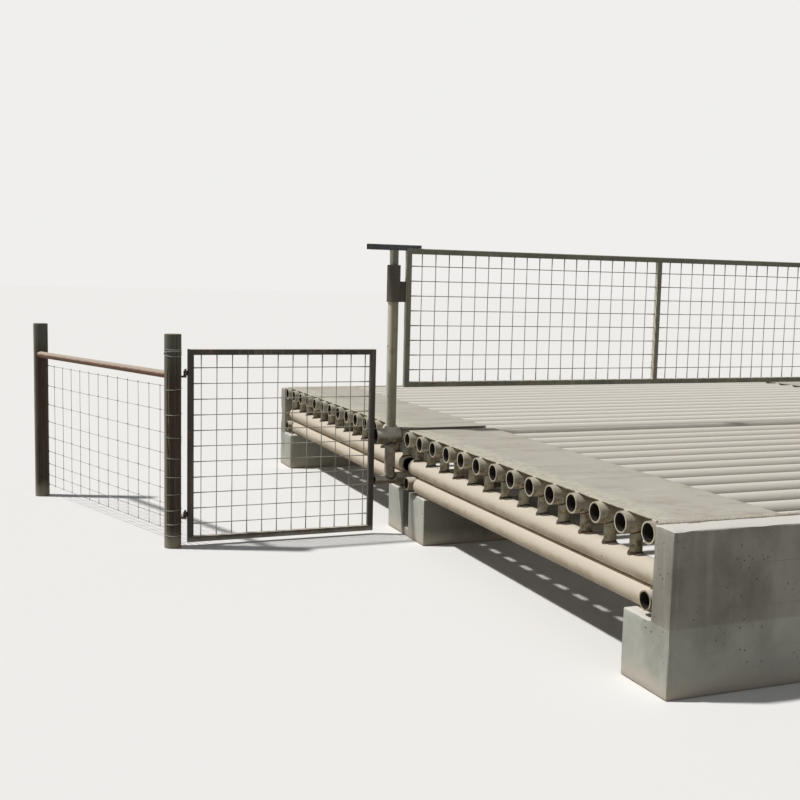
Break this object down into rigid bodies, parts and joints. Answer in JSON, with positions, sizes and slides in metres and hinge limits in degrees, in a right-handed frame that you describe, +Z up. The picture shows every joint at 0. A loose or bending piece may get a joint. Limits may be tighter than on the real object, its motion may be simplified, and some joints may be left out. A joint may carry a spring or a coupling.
{
  "type": "cattle grid",
  "caption": "Pipe cattle grid on concrete footings with a wide mesh swing gate across its middle, a square side gate, wooden posts and net wire",
  "frame": {"origin": "middle of the grid at ground level, on the underside of the middle footing", "axes": "+X along the deck pipes, from the hinge side to the latch side; +Y along the road, away from the camera; +Z up"},
  "size_m": [8.6364, 6.227, 1.9937],
  "materials": {
    "concrete": "cast concrete, dry and dusty",
    "pipe_steel": "weathered pipe with a coat of pale road dust",
    "gate_steel": "dull grey-green, weathered",
    "dark_steel": "dark brown, matt",
    "rusty_steel": "light rust",
    "timber": "creosoted round timber"
  },
  "bodies": {
    "grid": {"near_abutment": "concrete", "far_abutment": "concrete", "middle_footing": "concrete", "near_lower_stringers": "pipe_steel", "far_lower_stringers": "pipe_steel", "near_upper_stringers": "pipe_steel", "far_upper_stringers": "pipe_steel", "near_cross_pipes": "pipe_steel", "far_cross_pipes": "pipe_steel", "legs_left_edge": "pipe_steel", "legs_left_inner": "pipe_steel", "legs_centre": "pipe_steel", "legs_right_inner": "pipe_steel", "legs_right_edge": "pipe_steel", "near_deck_pipes": "pipe_steel", "far_deck_pipes": "pipe_steel", "near_tread_plates": "pipe_steel", "far_tread_plates": "pipe_steel", "gate_post": "gate_steel", "gate_post_brackets": "pipe_steel", "gate_post_strut": "pipe_steel", "latch_post": "gate_steel", "latch_post_brackets": "pipe_steel", "latch_post_strut": "pipe_steel", "hinge_hooks": "dark_steel", "hinge_post": "timber", "brace_post": "timber", "brace_pipe": "rusty_steel", "fence_net": "gate_steel"},
    "swing_gate": {"pivot_tube": "gate_steel", "head_bar": "gate_steel", "hinge_collar": "dark_steel", "gate_top_rail": "gate_steel", "gate_bottom_rail": "gate_steel", "gate_hinge_stile": "gate_steel", "gate_latch_stile": "gate_steel", "gate_uprights": "gate_steel", "gate_mesh_1": "gate_steel", "gate_mesh_2": "gate_steel", "gate_mesh_3": "gate_steel"},
    "side_gate": {"side_gate_top_rail": "dark_steel", "side_gate_bottom_rail": "dark_steel", "side_gate_hinge_stile": "dark_steel", "side_gate_latch_stile": "dark_steel", "side_gate_mesh": "dark_steel", "side_gate_eyes": "dark_steel"}
  },
  "joints": [
    {"name": "swing_gate_hinge", "type": "hinge", "parent": "grid", "child": "swing_gate", "pos_m": [-3.14, 0.10795, 1.4], "axis": [0, 0, 1], "range_deg": [-90, 90]},
    {"name": "side_gate_hinge", "type": "hinge", "parent": "grid", "child": "side_gate", "pos_m": [-4.5529, 0.10795, 0.7], "axis": [0, 0, 1], "range_deg": [-90, 90]}
  ]
}
